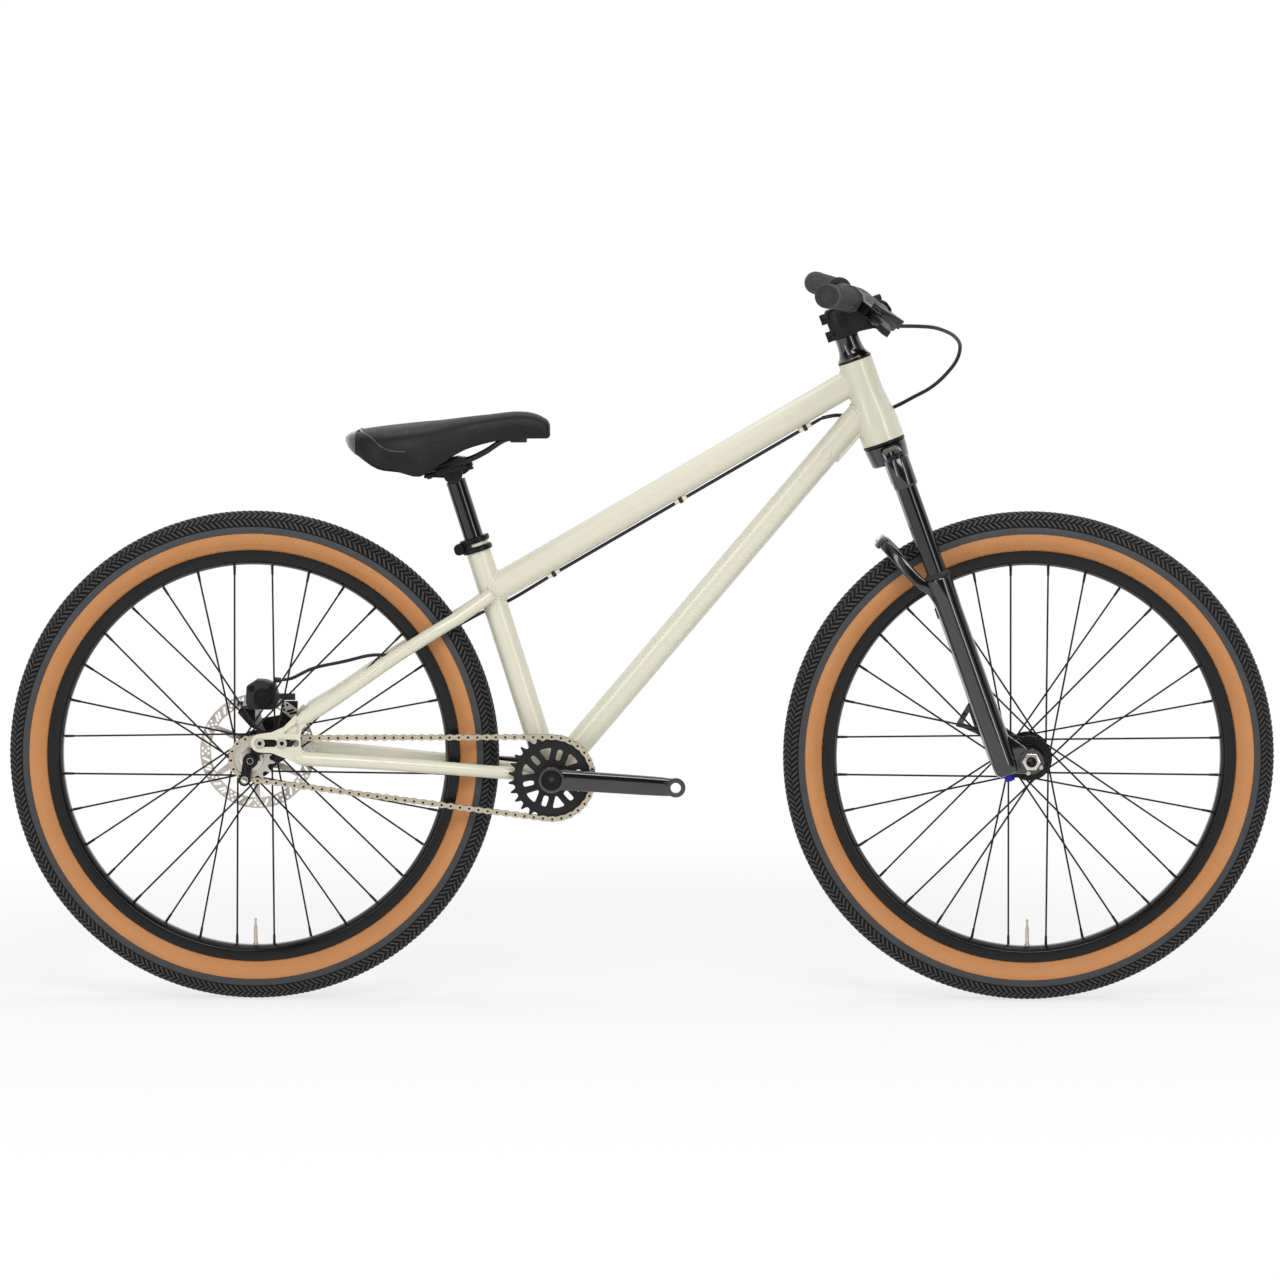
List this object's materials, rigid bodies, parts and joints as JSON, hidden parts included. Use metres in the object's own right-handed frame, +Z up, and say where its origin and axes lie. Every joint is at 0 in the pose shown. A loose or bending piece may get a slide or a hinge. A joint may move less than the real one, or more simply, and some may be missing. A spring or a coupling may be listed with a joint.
{
  "type": "dirt jump bike",
  "caption": "Hardtail jump bike: low straight-tube frame with sliding dropouts, short-travel fork, wide bar, single-speed chain drive and a rear disc brake.",
  "frame": {"origin": "on the ground in the middle plane, midway between the two wheels", "axes": "+X toward the front wheel, +Y to the rider's left, +Z up"},
  "size_m": [1.743, 0.7616, 0.9963],
  "materials": {
    "cream_paint": "gloss",
    "black_gloss": "gloss",
    "black_satin": "satin anodised",
    "black_rubber": "matt",
    "tyre_rubber": "matt tread with tan sidewalls",
    "black_vinyl": "satin",
    "black_plastic": "matt",
    "silver_steel": "bright nickel",
    "blue_anodised": "satin anodised"
  },
  "bodies": {
    "frame": {"head_tube": "cream_paint", "top_tube": "cream_paint", "down_tube": "cream_paint", "seat_tube": "cream_paint", "bottom_bracket_shell": "cream_paint", "dropout_right": "cream_paint", "dropout_left": "cream_paint", "slider_right": "black_satin", "slider_left": "black_satin", "chainstay_right": "cream_paint", "chainstay_left": "cream_paint", "seatstay_right": "cream_paint", "seatstay_left": "cream_paint", "rear_axle": "black_satin", "bearing_cup_right": "black_satin", "bearing_cup_left": "black_satin", "headset_upper_cup": "black_satin", "headset_lower_cup": "black_satin", "seat_clamp": "black_satin", "chain": "silver_steel", "brake_hose_rear": "black_rubber", "rear_caliper": "black_satin", "caliper_bracket": "black_satin"},
    "steering": {"fork_crown": "black_gloss", "stanchion_right": "black_gloss", "stanchion_left": "black_gloss", "headset_cone": "black_satin", "stem": "black_satin", "stem_faceplate": "black_satin", "stem_cap": "black_satin", "handlebar": "black_satin", "grip_right": "black_rubber", "grip_left": "black_rubber", "brake_lever_body": "black_satin", "brake_hose_front": "black_rubber"},
    "brake_lever": {"brake_lever_blade": "black_satin"},
    "fork_lowers": {"fork_lowers": "black_gloss", "wiper_seal_right": "black_rubber", "wiper_seal_left": "black_rubber", "front_axle": "silver_steel"},
    "rebound_knob": {"rebound_knob": "blue_anodised"},
    "front_wheel": {"front_tyre": "tyre_rubber", "front_rim": "black_satin", "front_hub_and_spokes": "black_satin"},
    "rear_wheel": {"rear_tyre": "tyre_rubber", "rear_rim": "black_satin", "rear_hub_and_spokes": "black_satin", "brake_rotor": "silver_steel"},
    "rear_cog": {"rear_cog": "silver_steel"},
    "cranks": {"chainring": "black_satin", "crank_arm_right": "black_gloss", "crank_arm_left": "black_gloss", "crank_spindle": "black_satin"},
    "seatpost": {"seatpost": "black_gloss"},
    "saddle": {"saddle_cradle": "black_satin", "saddle_clamp": "black_satin", "saddle_rails": "black_satin", "saddle_base": "black_plastic", "saddle_cover": "black_vinyl"}
  },
  "joints": [
    {"name": "steering_turn", "type": "hinge", "parent": "frame", "child": "steering", "pos_m": [0.4934, 0, 0.32361], "axis": [-0.3378, 0, 0.9412], "range_deg": [-90, 90], "deforming": ["brake_hose_front"]},
    {"name": "fork_travel", "type": "slide", "parent": "steering", "child": "fork_lowers", "axis": [-0.3378, 0, 0.9412], "range_m": [0, 0.1], "stiffness_N_per_m": 8000, "springref_m": -0.005},
    {"name": "brake_lever_pull", "type": "hinge", "parent": "steering", "child": "brake_lever", "pos_m": [0.31243, -0.23635, 0.94912], "axis": [-0.5712, 0.0914, -0.8157], "range_deg": [0, 20], "stiffness_Nm_per_rad": 0.4, "springref_deg": -2.29},
    {"name": "rebound_knob_turn", "type": "hinge", "parent": "fork_lowers", "child": "rebound_knob", "pos_m": [0.50293, -0.065, 0.31927], "axis": [-0.3378, 0, 0.9412], "range_deg": [-180, 180]},
    {"name": "front_wheel_spin", "type": "hinge", "parent": "fork_lowers", "child": "front_wheel", "pos_m": [0.5335, 0, 0.338], "axis": [0, 1, 0], "continuous": true},
    {"name": "rear_wheel_spin", "type": "hinge", "parent": "frame", "child": "rear_wheel", "pos_m": [-0.5335, 0, 0.338], "axis": [0, 1, 0], "continuous": true},
    {"name": "crank_spin", "type": "hinge", "parent": "frame", "child": "cranks", "pos_m": [-0.1215, 0, 0.312], "axis": [0, 1, 0], "continuous": true, "deforming": ["chain"]},
    {"name": "rear_cog_spin", "type": "hinge", "parent": "frame", "child": "rear_cog", "pos_m": [-0.5335, 0, 0.338], "axis": [0, 1, 0], "continuous": true},
    {"name": "seatpost_slide", "type": "slide", "parent": "frame", "child": "seatpost", "axis": [-0.3024, 0, 0.9532], "range_m": [-0.05, 0.035]},
    {"name": "saddle_tilt", "type": "hinge", "parent": "seatpost", "child": "saddle", "pos_m": [-0.25773, 0, 0.72664], "axis": [0, 1, 0], "range_deg": [-8, 8]}
  ],
  "couplings": [
    {"joint": "rear_cog_spin", "follows": "crank_spin", "ratio": 2}
  ]
}
